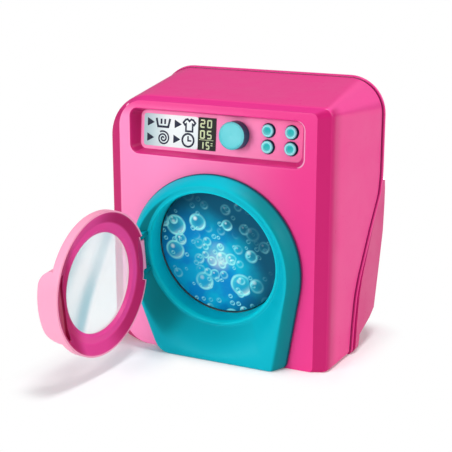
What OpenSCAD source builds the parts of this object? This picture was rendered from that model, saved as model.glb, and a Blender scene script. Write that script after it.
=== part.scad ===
// Toy washing machine: moulded front and back shells, an arch panel with a leaning
// door ring, a hinged door, a motor-driven drum, a control panel and a battery bay.
// X runs to the right seen from the front, Y to the back, Z up from the floor.

/* [Body] */
// Height at the rear rim
body_h = 185; // [180:1:190]
// Height of the front face
front_h = 173; // [170:1:176]
// Width of the flat front face
front_w = 144; // [140:1:148]
// Width at the outer edge of the front bevel
bevel_w = 163; // [160:1:166]
// Depth of the front bevel
bevel_d = 4; // [3:0.5:5]
// Width at the rear rim
rim_w = 172; // [169:1:175]
// Distance from the front face to the rear rim
rim_y = 91; // [89:1:93]
// Distance from the front face to the rear wall
rear_y = 101; // [99:1:103]
// Wall thickness of the shells
wall = 2.3; // [2:0.1:2.6]
// Corner radii of the front face: upper right, upper left, lower left, lower right
face_r = [4, 18, 20, 3]; // [3:0.5:20]
// Corner radii at the outer edge of the front bevel, in the same order
bevel_r = [6, 31, 20, 3]; // [3:0.5:32]
// Corner radii of the rear rim, in the same order
rim_r = [25, 25, 12, 5]; // [5:0.5:26]
// Height of the shoulder where the back shell becomes flush with the rim
shoulder_z = 113; // [110:1:116]

/* [Arch panel] */
// Radius of the arch at the front face
arch_r = 64; // [62:1:66]
// Inward taper of the arch's sides below its round head
arch_taper = 9.5; // [7:0.5:11]
// How far the arch stands out of the front face
arch_out = 12; // [10:0.5:13]
// Draft of the arch's side over that distance
arch_draft = 6; // [4:0.5:7]
// Height of the door ring's centre
ring_z = 70.6; // [69:0.1:72]
// How far the ring's centre stands in front of the front face
ring_out = 5.5; // [5:0.1:6]
// Forward lean of the door ring
ring_lean = 8; // [6:0.5:9]
// Radius of the lip round the opening
lip_r = 47.2; // [46:0.1:48]
// Depth from the lip to the drum
throat_d = 14; // [12:0.5:16]

/* [Door] */
// Outer radius of the door ring
door_r = 48.1; // [47:0.1:48.2]
// Thickness of the door ring
door_t = 7.7; // [7:0.1:8.5]
// Radius of the window opening
window_r = 33.4; // [32:0.1:34]
// Height of the grip above the door's outer face
grip_out = 8.6; // [7:0.1:10]
// Length of the grip
grip_l = 50; // [46:1:54]
// How far the door stands open
door_open = 95; // [90:1:100]
// Distance from the ring's centre to the hinge pin
hinge_x = 50; // [49.6:0.1:51]
// Distance from the lip to the hinge pin
hinge_out = 7; // [6.5:0.1:7.5]

/* [Control panel] */
// Width of the recess at the front face
recess_w = 127; // [122:1:130]
// Height of the recess at the front face
recess_h = 30.6; // [29:0.1:32]
// Height of the recess's centre
recess_z = 152.2; // [151:0.1:153]
// Depth of the recess at its lower edge
recess_d = 7; // [6:0.5:8]
// Backward lean of the recess floor
panel_lean = 5; // [3:0.5:7]
// Radius of the knob
knob_r = 9.5; // [9:0.1:10]
// Height of the knob
knob_h = 9; // [7:0.5:10]
// Radius of a button
button_r = 4.2; // [3.8:0.1:4.4]

/* [Drum and gears] */
// Teeth on the drum gear
gear_teeth = 44; // [40:1:48]
// Teeth on the motor pinion
pinion_teeth = 11; // [10:1:12]
// Gear module
gear_m = 1; // [0.9:0.05:1.05]

/* [Hidden] */
$fn = 96;
eps = 0.02;
fit = 0.05;

pink = "#f0469a";
turquoise = "#00b4c8";
pale_blue = "#6fd6dc";
steel = "#b8bcc0";
brass = "#c9a44c";
board_green = "#1f7a4d";
black = "#1c1c20";
cream = "#e8f4f0";

// Side profile of the seam between the shells, as depth and height
seam = [[rim_y, body_h + 10], [rim_y, 118], [rim_y - 2.5, 105], [73, 82], [55, 52], [50, 40],
    [46.5, 20], [44, -5]];
// Lower rear of the back shell up to the shoulder, and its foot at the seam
rear_low = [[40, 5], [76, 16], [85, 21], [90, 40], [94, 54], [99.5, 75], [rear_y, 95],
    [rear_y, 106], [rear_y - 1, shoulder_z], [rim_y - 4, shoulder_z + 5], [40, shoulder_z + 5]];
rear_foot = [[40, 0], [50, 0], [53, 9], [53, 60], [40, 60]];
edge_r = 3;
rim_band = 3;
rim_proud = 1.1;
groove_w = 0.9;
groove_d = 0.7;
post_x = 69;
post_high = 160;
post_low = 30;
plinth_w = 84;
plinth_h = 76;
plinth_y = 94;
mid_y = (plinth_y - arch_out) / 2;
seat_r = lip_r + 5.2;
screw_r = 1.3;
tub_wall = 1.6;
tub_d = 21;
disc_r = 45.6;
throat_in = disc_r + 0.5;
throat_out = throat_in + 2.2;
disc_z = -throat_d - 1;
tub_back = -throat_d - tub_d;
gear_t = 4;
plate_t = 2;
gear_z = tub_back - 2.5 - gear_t;
plate_z = gear_z - 0.6 - plate_t;
shaft_r = 2;
backlash = 0.25;
centre_d = gear_m * (gear_teeth + pinion_teeth) / 2 + 0.1;
motor_a = 128;
motor_r = 11;
motor_l = 24;
floor_t = 2.2;
board_z = -11;
knob_x = 12.2;
knob_y = 1.2;
label_x0 = -57.3;
label_x1 = -15.9;
display_x1 = -2.8;
label_h = 21.8;
button_hole = 4.8;
button_out = 2.5;
button_cx = 43.2;
button_cy = 0.6;
button_dx = 16.3;
button_dy = 10.6;
cell_r = 7.1;
cell_l = 50;
cell_gap = 0.6;
speaker_z = 136;
switch_x = 48;
bay_z = 38;
bay_w = 60;
bay_h = 47.4;
bay_d = 19;
bay_y = plinth_y - wall;
cells_z = bay_z - 3;
cover_w = 64;
cover_h = 58;
cover_t = 2.2;
cover_r = 3;
screw_z = bay_z + 25;
clear = 0.3;
knuckle_r = 3;
knuckle_l = 21;
ear_y = 12.9;
ear_t = 3.6;
pin_r = 1.25;
pin_l = 28.6;
door_z = 0.8;
dish_z = 3.8;
seat_z = 5.2;
grip_w = 13;
bulge_r = 400;

module placed() translate([0, -mid_y, 0]) children();

// Local Z points out of the machine along the ring's leaning axis
module on_ring() translate([0, -ring_out, ring_z]) rotate([90 + ring_lean, 0, 0]) children();

// Local Z points out of the recess floor, local Y up along it
module on_panel() translate([0, recess_d + recess_h / 2 * tan(panel_lean), recess_z])
    rotate([90 - panel_lean, 0, 0]) children();

// Door parts are drawn closed in the ring's frame and swung open about the hinge pin
module swung_open() on_ring() translate([-hinge_x, 0, hinge_out]) rotate([0, -door_open, 0])
    translate([hinge_x, 0, -hinge_out]) children();

module upright(y, t) translate([0, y + t, 0]) rotate([90, 0, 0]) linear_extrude(t) children();

module sideways(w) rotate([90, 0, 90]) translate([0, 0, -w / 2]) linear_extrude(w) children();

module rounded(w, h, r) {
    hull_x = w / 2 - r;
    hull_y = h / 2 - r;
    union() {
        square([w - 2 * r, h], center = true);
        square([w, h - 2 * r], center = true);
        for (x = [-hull_x, hull_x], y = [-hull_y, hull_y]) translate([x, y]) circle(r, $fn = 32);
    }
}

function arc(x, y, r, from, to, n = 12) = [for (i = [0 : n])
    [x + r * cos(from + (to - from) * i / n), y + r * sin(from + (to - from) * i / n)]];

function lessened(radii, by) = [for (r = radii) max(3, r - by)];

// Outline of the body from the floor to a height, each corner with its own radius
module body_outline(w, h, r, grow = 0) polygon(concat(
    arc(w / 2 - r[3], r[3], r[3] + grow, -90, 0, 6), arc(w / 2 - r[0], h - r[0], r[0] + grow, 0, 90),
    arc(r[1] - w / 2, h - r[1], r[1] + grow, 90, 180), arc(r[2] - w / 2, r[2], r[2] + grow, 180, 270, 8)));

module body_loft(grow) {
    thin = 0.05;
    hull() {
        upright(-grow, thin) body_outline(front_w, front_h, face_r, grow);
        upright(bevel_d * 0.35 - grow * 0.8, thin)
            body_outline(bevel_w - 7, front_h + 2, (face_r + 2 * bevel_r) / 3, grow);
        upright(bevel_d, thin) body_outline(bevel_w, front_h + 3.4, bevel_r, grow);
        upright(rim_y, thin) body_outline(rim_w, body_h, rim_r, grow);
    }
}

module front_side(shift = 0) sideways(rim_w + 20) polygon(concat(
    [for (p = seam) [p[0] - shift, p[1]]], [[-20, -5], [-20, body_h + 10]]));

module rear_side(shift = 0) sideways(rim_w + 20) polygon(concat(
    [for (p = seam) [p[0] + shift, p[1]]], [[rear_y + 20, -5], [rear_y + 20, body_h + 10]]));

module floor_cut() translate([-200, -200, -50]) cube([400, 400, 50]);

module recess_solid(grow) hull() {
    upright(-2 * eps, 0.05) translate([0, recess_z])
        rounded(recess_w + 2 * grow, recess_h + 2 * grow, 6 + grow);
    on_panel() translate([0, 0, -grow]) linear_extrude(0.05)
        rounded(recess_w - 8 + 2 * grow, recess_h - 4 + 2 * grow, 4.5 + grow);
}

module button_places() for (i = [-1, 1], j = [-1, 1])
    translate([button_cx + i * button_dx / 2, button_cy + j * button_dy / 2, 0]) children();

module shell_posts(y0, y1_high, y1_low, r) {
    for (s = [-1, 1]) {
        translate([s * post_x, y0, post_high]) rotate([-90, 0, 0])
            cylinder(r = r, h = y1_high - y0, $fn = 32);
        translate([s * post_x, y0, post_low]) rotate([-90, 0, 0])
            cylinder(r = r, h = y1_low - y0, $fn = 32);
    }
}

module board_posts(r, z0, z1) for (x = [2, 26.5, 60], y = [-11.5, 11.5])
    if (x != 26.5 || y < 0) translate([x, y, z0]) cylinder(r = r, h = z1 - z0, $fn = 24);

module front_shell() placed() color(pink) difference() {
    union() {
        difference() {
            union() {
                intersection() {
                    body_loft(0);
                    front_side(rim_band + groove_w);
                }
                intersection() {
                    body_loft(-groove_d);
                    front_side(rim_band - eps);
                }
                intersection() {
                    body_loft(rim_proud);
                    front_side(0);
                    rear_side(-rim_band);
                }
            }
            body_loft(-wall);
        }
        intersection() {
            recess_solid(floor_t);
            body_loft(0);
        }
        intersection() {
            shell_posts(wall, rim_y - 0.5, 45, 4);
            front_side(1);
        }
        on_panel() board_posts(2.4, board_z, -1);
        translate([-60, 20, 0]) cube([120, 24, wall]);
    }
    floor_cut();
    recess_solid(0);
    on_panel() {
        translate([knob_x, knob_y, -10]) cylinder(r = 3 + fit, h = 20, $fn = 48);
        button_places() translate([0, 0, -10]) cylinder(r = button_hole, h = 20, $fn = 48);
        board_posts(0.9, board_z - 1, -3);
    }
    on_ring() translate([0, 0, -40]) cylinder(r = seat_r + clear, h = 60);
    shell_posts(30, 200, 200, screw_r);
}

module back_outer(grow) {
    thin = 0.05;
    hull() {
        upright(rim_y - 1, thin) body_outline(rim_w - 1.6, body_h - 0.8, lessened(rim_r, 0.8), grow);
        upright(rear_y - 5, thin) body_outline(rim_w - 7, body_h - 3, lessened(rim_r, 3), grow);
        upright(rear_y + grow, thin) body_outline(rim_w - 18, body_h - 8, lessened(rim_r, 7), grow);
    }
}

module back_lower(grow) intersection() {
    union() {
        hull() for (a = [0 : 30 : 90]) sideways(rim_w + 2 * grow - 2 * edge_r * (1 - cos(a)))
            offset(delta = grow - edge_r * (1 - sin(a))) polygon(rear_low);
        sideways(rim_w + 2 * grow) offset(delta = grow) polygon(rear_foot);
    }
    upright(30, 80) body_outline(rim_w, body_h, rim_r, grow);
}

module back_plinth(grow) translate([-plinth_w / 2 - grow, 40 - grow, -1]) cube(
    [plinth_w + 2 * grow, plinth_y - 40 + 2 * grow, plinth_h + 1 + grow]);

module bay_opening(grow, y0, t) upright(y0, t) translate([0, bay_z])
    rounded(cover_w + 2 * grow, cover_h + 2 * grow, cover_r + grow);

module grille() upright(rear_y - 6, 12) translate([0, speaker_z])
    for (r = [0, 6, 12], i = [0 : max(0, r - 1)]) rotate(360 * i / max(1, r)) translate([r, 0])
        circle(1.2, $fn = 16);

module back_shell() placed() color(pink) difference() {
    union() {
        difference() {
            intersection() {
                union() {
                    difference() {
                        back_outer(0);
                        translate([-150, 0, -5]) cube([300, 200, shoulder_z]);
                    }
                    back_lower(0);
                    back_plinth(0);
                }
                rear_side(0.1);
            }
            difference() {
                union() {
                    difference() {
                        back_outer(-wall);
                        translate([-150, 0, -5]) cube([300, 200, shoulder_z + 4]);
                    }
                    back_lower(-wall);
                    back_plinth(-wall);
                    translate([-rim_w / 2 + 8, 60, shoulder_z - 8])
                        cube([rim_w - 16, rear_y - wall - 66, 20]);
                }
                translate([-150, 0, -5]) cube([300, 200, 5 + wall]);
            }
        }
        intersection() {
            difference() {
                shell_posts(46, rear_y - 1, 86.5, 4.5);
                translate([-150, 0, post_high - 20]) cube([300, rim_y, 40]);
            }
            rear_side(0.6);
        }
        upright(rear_y - 10, 8.5) translate([0, speaker_z]) difference() {
            circle(17);
            circle(15.2);
        }
    }
    floor_cut();
    bay_opening(clear, plinth_y - wall - 3, 12);
    grille();
    upright(rear_y - 8, 12) translate([switch_x, speaker_z]) rounded(9, 4.6, 1);
    shell_posts(30, 200, 200, screw_r + 0.3);
    for (s = [-1, 1]) {
        translate([s * post_x, rear_y - 5, post_high]) rotate([-90, 0, 0])
            cylinder(r = 3.2, h = 20, $fn = 32);
        translate([s * post_x, 80, post_low]) rotate([-90, 0, 0])
            cylinder(r = 3.2, h = 30, $fn = 32);
    }
}

// Round head over sides that taper in towards the floor and round lower corners
module arch_outline(inset) {
    r = arch_r - inset;
    turn = 12 - inset / 2;
    x = (r - turn + sin(arch_taper) * (turn - arch_r)) / cos(arch_taper);
    polygon(concat(arc(x, turn, turn, -90, -arch_taper, 6),
        arc(0, arch_r, r, -arch_taper, 180 + arch_taper, 48), arc(-x, turn, turn, 180 + arch_taper, 270, 6)));
}

module arch_body(grow) hull() {
    upright(-0.05, 0.05) arch_outline(-grow);
    upright(-arch_out * 0.75, 0.05) arch_outline(arch_draft * 0.6 - grow);
    upright(-arch_out - grow, 0.05) arch_outline(arch_draft - grow);
}

module hinge_ears() for (s = [-1, 1]) translate([-hinge_x, s * ear_y, 0]) rotate([90, 0, 0])
    translate([0, 0, -ear_t / 2]) linear_extrude(ear_t) {
        translate([0, hinge_out]) circle(knuckle_r, $fn = 48);
        translate([-knuckle_r, -2.5]) square([2 * knuckle_r, 2.5 + hinge_out]);
    }

module hinge_bore(r, l) translate([-hinge_x, 0, hinge_out]) rotate([90, 0, 0])
    cylinder(r = r, h = l, center = true, $fn = 48);

// Void in front of the door ring: throat, lip and the dished seat of the door
module ring_void() rotate_extrude($fn = 128) polygon([[0, -40], [throat_in, -40], [throat_in, -1.4],
    [lip_r - 0.8, 0], [lip_r + 0.2, 0.5], [lip_r + 1.2, 0.4], [lip_r + 2.1, -0.4], [lip_r + 12.1, 13.6],
    [lip_r + 12.1, 60], [0, 60]]);

module arch_panel() placed() color(turquoise) difference() {
    union() {
        difference() {
            union() {
                difference() {
                    arch_body(0);
                    translate([0, wall, 0]) arch_body(-wall);
                }
                intersection() {
                    arch_body(0);
                    on_ring() translate([0, 0, -3]) cylinder(r1 = lip_r + 2.7, r2 = lip_r + 15, h = 17.4);
                }
                on_ring() translate([0, 0, -throat_d]) cylinder(r = throat_out, h = throat_d - 1);
                on_ring() translate([0, 0, -2.6]) cylinder(r = lip_r + 2, h = 3.3);
                intersection() {
                    on_ring() translate([0, 0, -2.6]) cylinder(r = seat_r, h = 4.6);
                    translate([-60, -2, 0]) cube([120, 12, 60]);
                }
            }
            on_ring() ring_void();
        }
        on_ring() hinge_ears();
    }
    on_ring() {
        translate([-hinge_x - 4.2, -knuckle_l / 2 - 0.4, 1.9]) cube([8.2, knuckle_l + 0.8, 20]);
        hinge_bore(pin_r, pin_l + 0.2);
    }
}

module control_label() placed() color(cream) on_panel() linear_extrude(0.3)
    translate([(label_x0 + label_x1) / 2, 0]) rounded(label_x1 - label_x0 - 0.1, label_h, 2);

module display() placed() color(black) on_panel() linear_extrude(0.6)
    translate([(label_x1 + display_x1) / 2, 0]) square([display_x1 - label_x1, label_h], center = true);

module knob() placed() color(pale_blue) on_panel() translate([knob_x, knob_y, 0]) rotate_extrude()
    polygon([[0, -7], [2.9, -7], [2.9, 0.5], [knob_r, 0.5], [knob_r - 0.3, knob_h - 1.2],
        [knob_r - 1.5, knob_h], [knob_r - 2.6, knob_h - 0.4], [0, knob_h - 1.1]]);

module knob_clip() placed() color(steel) on_panel() translate([knob_x, knob_y, -floor_t - 1.1])
    linear_extrude(0.8) difference() {
        circle(4.6, $fn = 48);
        circle(2.9, $fn = 48);
    }

// Cap, flange behind the recess floor and stem down to the keypad
module button(i, j) placed() color(pale_blue) on_panel()
    translate([button_cx + i * button_dx / 2, button_cy + j * button_dy / 2, 0]) rotate_extrude($fn = 64)
    polygon([[0, -6.6], [2, -6.6], [2, -3.8], [4.9, -3.8], [4.9, -2.6], [button_r, -2.6],
        [button_r, button_out - 0.8], [button_r - 0.8, button_out], [button_r - 1.4, button_out],
        [button_r - 1.8, button_out - 0.5], [0, button_out - 0.8]]);

module button_upper_left() button(-1, 1);
module button_upper_right() button(1, 1);
module button_lower_left() button(-1, -1);
module button_lower_right() button(1, -1);

module keypad() placed() color("#d8d8d4") on_panel() {
    translate([button_cx - 14, button_cy - 9.5, board_z]) cube([28, 19, 1.2]);
    button_places() translate([0, 0, board_z + 1]) cylinder(r1 = 3.4, r2 = 2.4, h = 1.7, $fn = 48);
}

module circuit_board() placed() color(board_green) on_panel() difference() {
    translate([-2, -13.5, board_z - 1.6]) cube([65, 27, 1.6]);
    board_posts(1.1, board_z - 3, board_z + 1);
    translate([knob_x, knob_y, board_z - 3]) cylinder(r = 2, h = 6, $fn = 32);
}

// Switch body on the board, under the end of the knob's stem
module knob_switch() placed() color(black) on_panel() translate([knob_x, knob_y, board_z]) difference() {
    translate([-5, -5, 0]) cube([10, 10, 6.2]);
    translate([0, 0, 3.4]) cylinder(r = 2.9 + fit, h = 10, $fn = 48);
}

module board_screws() placed() color(steel) on_panel() {
    board_posts(2.1, board_z - 3, board_z - 1.6);
    board_posts(0.9, board_z - 1.7, board_z + 5);
}

module speaker() placed() color("#3a3a3e") translate([0, rear_y - wall, speaker_z]) rotate([90, 0, 0])
    rotate_extrude() polygon([[0, 2.5], [4, 2.5], [13, 0.4], [13.4, 0], [15, 0], [15, 1.6], [9, 6], [9, 10],
        [0, 10]]);

module lamp() placed() color("#f4f4f8") on_ring() translate([0, 36, tub_back]) rotate_extrude($fn = 48)
    polygon(concat([[0, 0], [3, 0], [3, 1], [2.5, 1]], arc(0, 5, 2.5, 0, 90, 6)));

// Corners of the gear plate, turned so that the motor sits midway between two of them
module plate_places() for (a = [45 : 90 : 315]) rotate(motor_a + a) translate([33, 0, 0]) children();

// Cup behind the door ring that carries the drum's bearing
module drum_tub() placed() color("#d9dbe0") on_ring() difference() {
    union() {
        rotate_extrude() polygon([[throat_out, -8], [throat_out, tub_back], [5, tub_back], [5, tub_back + 8],
            [3.6, tub_back + 8], [3.6, tub_back - 2], [throat_out + tub_wall, tub_back - 2],
            [throat_out + tub_wall, -8]]);
        plate_places() translate([0, 0, plate_z + plate_t]) cylinder(
            r = 3, h = tub_back - 1 - plate_z - plate_t, $fn = 32);
    }
    plate_places() translate([0, 0, plate_z]) cylinder(r = 1, h = 9, $fn = 24);
}

module drum() placed() color("#0a86b4") on_ring() rotate_extrude($fn = 128) polygon([[shaft_r, disc_z - 9],
    [5.5, disc_z - 9], [5.5, disc_z - 2], [disc_r - 2, disc_z - 2], [disc_r - 2, disc_z - 8],
    [disc_r, disc_z - 8], [disc_r, disc_z], [disc_r - 1, disc_z + 0.01], [shaft_r, disc_z + 0.01]]);

module drum_print() placed() color("#18a4d8") on_ring() translate([0, 0, disc_z + 0.01])
    linear_extrude(0.25) circle(disc_r - 0.6, $fn = 128);

module drum_shaft() placed() color(steel) on_ring() translate([0, 0, plate_z - 2])
    cylinder(r = shaft_r, h = disc_z - plate_z + 1, $fn = 48);

module drum_bush() placed() color(brass) on_ring() translate([0, 0, tub_back - 2]) linear_extrude(10)
    difference() {
        circle(3.6, $fn = 48);
        circle(shaft_r + fit, $fn = 48);
    }

// Teeth with straight flanks on both sides of the pitch circle
module gear(teeth, bore) {
    pitch = gear_m * teeth / 2;
    step = 360 / teeth;
    half = step / 4 - backlash / pitch * 28.65;
    difference() {
        union() {
            circle(pitch - 1.2 * gear_m, $fn = 96);
            for (i = [0 : teeth - 1]) rotate(i * step) polygon([
                [(pitch - 1.4 * gear_m) * cos(half * 1.7), -(pitch - 1.4 * gear_m) * sin(half * 1.7)],
                [pitch * cos(half), -pitch * sin(half)],
                [(pitch + 0.9 * gear_m) * cos(half * 0.45), -(pitch + 0.9 * gear_m) * sin(half * 0.45)],
                [(pitch + 0.9 * gear_m) * cos(half * 0.45), (pitch + 0.9 * gear_m) * sin(half * 0.45)],
                [pitch * cos(half), pitch * sin(half)],
                [(pitch - 1.4 * gear_m) * cos(half * 1.7), (pitch - 1.4 * gear_m) * sin(half * 1.7)]]);
        }
        circle(bore, $fn = 48);
    }
}

module drum_gear() placed() color("#f0f0ea") on_ring() translate([0, 0, gear_z]) rotate(motor_a) {
    linear_extrude(gear_t) difference() {
        gear(gear_teeth, shaft_r);
        for (a = [30 : 60 : 330]) rotate(a) translate([12, 0]) circle(4, $fn = 32);
    }
}

module motor_pinion() placed() color(brass) on_ring() rotate(motor_a) translate([centre_d, 0, gear_z])
    linear_extrude(gear_t) rotate(180 + 180 / pinion_teeth) gear(pinion_teeth, 1);

module motor_spindle() placed() color(steel) on_ring() rotate(motor_a)
    translate([centre_d, 0, plate_z - 3]) cylinder(r = 1, h = gear_z + gear_t - plate_z + 3.2, $fn = 32);

module gear_plate() placed() color("#d9dbe0") on_ring() translate([0, 0, plate_z]) linear_extrude(plate_t)
    difference() {
        union() {
            rotate(motor_a) rounded(58, 58, 8);
            rotate(motor_a) translate([centre_d, 0]) circle(motor_r + 2);
        }
        circle(shaft_r + fit, $fn = 48);
        rotate(motor_a) translate([centre_d, 0]) circle(3.1, $fn = 48);
        plate_places() circle(1.3, $fn = 24);
    }

module motor() placed() color(steel) on_ring() rotate(motor_a) translate([centre_d, 0, plate_z])
    difference() {
        union() {
            translate([0, 0, -motor_l]) intersection() {
                cylinder(r = motor_r, h = motor_l);
                translate([-motor_r * 0.76, -20, 0]) cube([motor_r * 1.52, 40, motor_l]);
            }
            cylinder(r = 3, h = 1.6, $fn = 48);
            translate([0, 0, -motor_l - 1.6]) cylinder(r = 3, h = 1.7, $fn = 48);
        }
        translate([0, 0, -4]) cylinder(r = 1 + fit, h = 10, $fn = 32);
    }

module plate_screws() placed() color(steel) on_ring() plate_places() {
    translate([0, 0, plate_z - 1.4]) cylinder(r = 2.2, h = 1.4, $fn = 32);
    translate([0, 0, plate_z - 0.2]) cylinder(r = 1, h = 6.2, $fn = 32);
}

module battery_box() placed() color("#e9e9e4") difference() {
    union() {
        translate([-bay_w / 2, bay_y - bay_d, cells_z - bay_h / 2]) cube([bay_w, bay_d + 0.1, bay_h]);
        upright(bay_y - 2, 2) translate([0, bay_z]) rounded(cover_w + 8, cover_h + 8, 3);
        translate([0, bay_y - 10, screw_z]) rotate([-90, 0, 0]) cylinder(r = 3, h = 10, $fn = 32);
    }
    translate([1.6 - bay_w / 2, bay_y - bay_d + 1.8, cells_z - bay_h / 2 + 1.6])
        cube([bay_w - 3.2, bay_d, bay_h - 3.2]);
    translate([0, bay_y - 8, screw_z]) rotate([-90, 0, 0]) cylinder(r = 1.4, h = 10, $fn = 32);
}

module cell_places() for (i = [-1 : 1])
    translate([0, bay_y - bay_d + 1.8 + cell_r, cells_z + i * (2 * cell_r + cell_gap)]) children();

module batteries() placed() color("#c9a44c") cell_places() rotate([0, 90, 0]) {
    translate([0, 0, -cell_l / 2]) cylinder(r = cell_r, h = cell_l - 1.2, $fn = 48);
    translate([0, 0, cell_l / 2 - 1.2]) cylinder(r = 2.6, h = 1.2, $fn = 32);
}

module battery_contacts() placed() color(steel) cell_places() {
    translate([cell_l / 2, -5, -6]) cube([0.5, 10, 12]);
    translate([cell_l / 2 + 0.4, -2, -2]) cube([bay_w / 2 - 1.6 - cell_l / 2 - 0.4, 4, 4]);
    translate([-bay_w / 2 + 1.6, 0, 0]) rotate([0, 90, 0]) cylinder(r1 = 5, r2 = 3,
        h = bay_w / 2 - 1.6 - cell_l / 2, $fn = 32);
}

module battery_cover() placed() color(pink) difference() {
    union() {
        bay_opening(0, bay_y + 0.1, cover_t);
        for (z = [-16 : 4 : 8]) upright(bay_y + cover_t, 0.8) translate([0, bay_z + z]) rounded(34, 1.6, 0.7);
    }
    translate([0, bay_y - 3, screw_z]) rotate([-90, 0, 0]) cylinder(r = 1.5, h = 20, $fn = 32);
}

module cover_screw() placed() color(steel) translate([0, bay_y + 0.1 + cover_t, screw_z])
    rotate([-90, 0, 0]) {
        cylinder(r = 2.4, h = 1.3, $fn = 32);
        translate([0, 0, -9]) cylinder(r = 1.4, h = 9.1, $fn = 32);
    }

module power_switch() placed() color(black) translate([switch_x, rear_y - wall, speaker_z]) difference() {
    translate([-9, -8, -6]) cube([18, 8, 12]);
    translate([-6, -6.2, -3]) cube([12, 10, 6]);
}

module switch_slider() placed() color(cream) translate([switch_x - 2, rear_y - wall, speaker_z]) {
    translate([-2.5, -6.1, -2.9]) cube([5, 5.6, 5.8]);
    translate([-2, -1, -1.8]) cube([4, 4.8, 3.6]);
}

// Ring profile with a dished inner side that leads down to the window's seat
module ring_profile() polygon([[door_r, door_z], [door_r, door_t - 1.4], [door_r - 0.5, door_t - 0.4],
    [door_r - 1.6, door_t], [window_r + 0.8, door_t], [window_r, door_t - 0.7], [window_r, seat_z],
    [window_r + 2.2, dish_z], [door_r - 8.6, dish_z], [door_r - 1.9, door_z]]);

// Side view of the grip, cut from the ring's own wall so that it stays flush
module grip_solid(inset, z0) intersection() {
    translate([0, 0, z0]) linear_extrude(40) intersection() {
        circle(door_r - inset, $fn = 128);
        translate([door_r - grip_w + inset, -40]) square([40, 80]);
    }
    translate([20, 0, door_t + grip_out - grip_l / 4]) rotate([90, 0, 90]) linear_extrude(60)
        rounded(grip_l - 2 * inset, grip_l / 2 - 2 * inset, 9 - inset);
}

module door_frame() placed() color(pink) swung_open() difference() {
    union() {
        difference() {
            union() {
                rotate_extrude($fn = 160) ring_profile();
                grip_solid(0.03, door_t - 2);
            }
            grip_solid(2.2, door_z + 0.1);
            for (s = [-1, 1]) translate([-60, s * (ear_y + 0.4) - ear_t / 2 - 1.1, -1])
                cube([60 - hinge_x + knuckle_r + 0.7, ear_t + 2.2, 20]);
            translate([-60, -ear_y - ear_t / 2 - 1.5, -1]) cube([18, 2 * ear_y + ear_t + 3, dish_z + 0.4]);
        }
        hinge_bore(knuckle_r, knuckle_l);
        translate([-hinge_x, -knuckle_l / 2, hinge_out - 2.4]) cube([8, knuckle_l, 3]);
    }
    hinge_bore(pin_r + fit, 40);
}

// Shallow clear dome clipped into the ring
module door_window() placed() color("#e8f6fa", 0.4) swung_open() intersection() {
    difference() {
        translate([0, 0, door_t + 0.4 - bulge_r]) sphere(bulge_r, $fn = 240);
        translate([0, 0, door_t - 0.8 - bulge_r]) sphere(bulge_r, $fn = 240);
    }
    cylinder(r = window_r - 0.02, h = 20, $fn = 128);
}

module hinge_pin() placed() color(steel) on_ring() hinge_bore(pin_r, pin_l);

module shell_screws() placed() color(steel) for (s = [-1, 1]) {
    translate([s * post_x, 0, post_high]) rotate([-90, 0, 0]) {
        translate([0, 0, rear_y - 5]) cylinder(r = 2.8, h = 1.6, $fn = 32);
        translate([0, 0, rim_y - 8]) cylinder(r = screw_r, h = rear_y - rim_y + 3.1, $fn = 32);
    }
    translate([s * post_x, 0, post_low]) rotate([-90, 0, 0]) {
        translate([0, 0, 80]) cylinder(r = 2.8, h = 1.6, $fn = 32);
        translate([0, 0, 38]) cylinder(r = screw_r, h = 42.1, $fn = 32);
    }
}

front_shell();
back_shell();
arch_panel();
control_label();
display();
knob();
knob_clip();
button_upper_left();
button_upper_right();
button_lower_left();
button_lower_right();
keypad();
circuit_board();
knob_switch();
board_screws();
speaker();
lamp();
drum_tub();
drum();
drum_print();
drum_shaft();
drum_bush();
drum_gear();
gear_plate();
motor();
motor_spindle();
motor_pinion();
plate_screws();
battery_box();
batteries();
battery_contacts();
battery_cover();
cover_screw();
power_switch();
switch_slider();
door_frame();
door_window();
hinge_pin();
shell_screws();
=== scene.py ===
# Toy washing machine in a plain studio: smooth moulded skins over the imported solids,
# printed panel, bubble picture in the drum, clear door window.
import math
import bmesh
import bpy
from mathutils import Matrix, Vector


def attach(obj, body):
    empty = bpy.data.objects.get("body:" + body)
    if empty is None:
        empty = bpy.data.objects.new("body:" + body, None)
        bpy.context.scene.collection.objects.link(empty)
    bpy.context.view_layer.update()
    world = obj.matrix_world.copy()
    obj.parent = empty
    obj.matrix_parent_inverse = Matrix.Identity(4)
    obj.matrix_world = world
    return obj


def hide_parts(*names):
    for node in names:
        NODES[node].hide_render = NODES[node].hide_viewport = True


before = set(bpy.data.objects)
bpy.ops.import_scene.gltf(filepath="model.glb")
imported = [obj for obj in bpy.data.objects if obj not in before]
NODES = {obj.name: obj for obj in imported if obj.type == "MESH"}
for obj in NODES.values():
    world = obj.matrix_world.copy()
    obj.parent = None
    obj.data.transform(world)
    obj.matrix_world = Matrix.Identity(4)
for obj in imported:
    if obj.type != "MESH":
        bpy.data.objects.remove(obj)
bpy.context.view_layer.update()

# Shapes are drawn in millimetres with y = 0 on the front face; metres() turns them
# into the frame, whose origin is the middle of the footprint.
MIDDLE = 41.0
MM = 0.001

# The door ring leans forward out of the arch panel
LEAN = math.radians(8)
RING_HEIGHT = 70.6
RING_CENTRE = Vector((0, -5.5, RING_HEIGHT))
RING_UP = Vector((0, -math.sin(LEAN), math.cos(LEAN)))
RING_OUT = Vector((0, -math.cos(LEAN), -math.sin(LEAN)))
HINGE_X, HINGE_OUT = -50, 7

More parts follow.
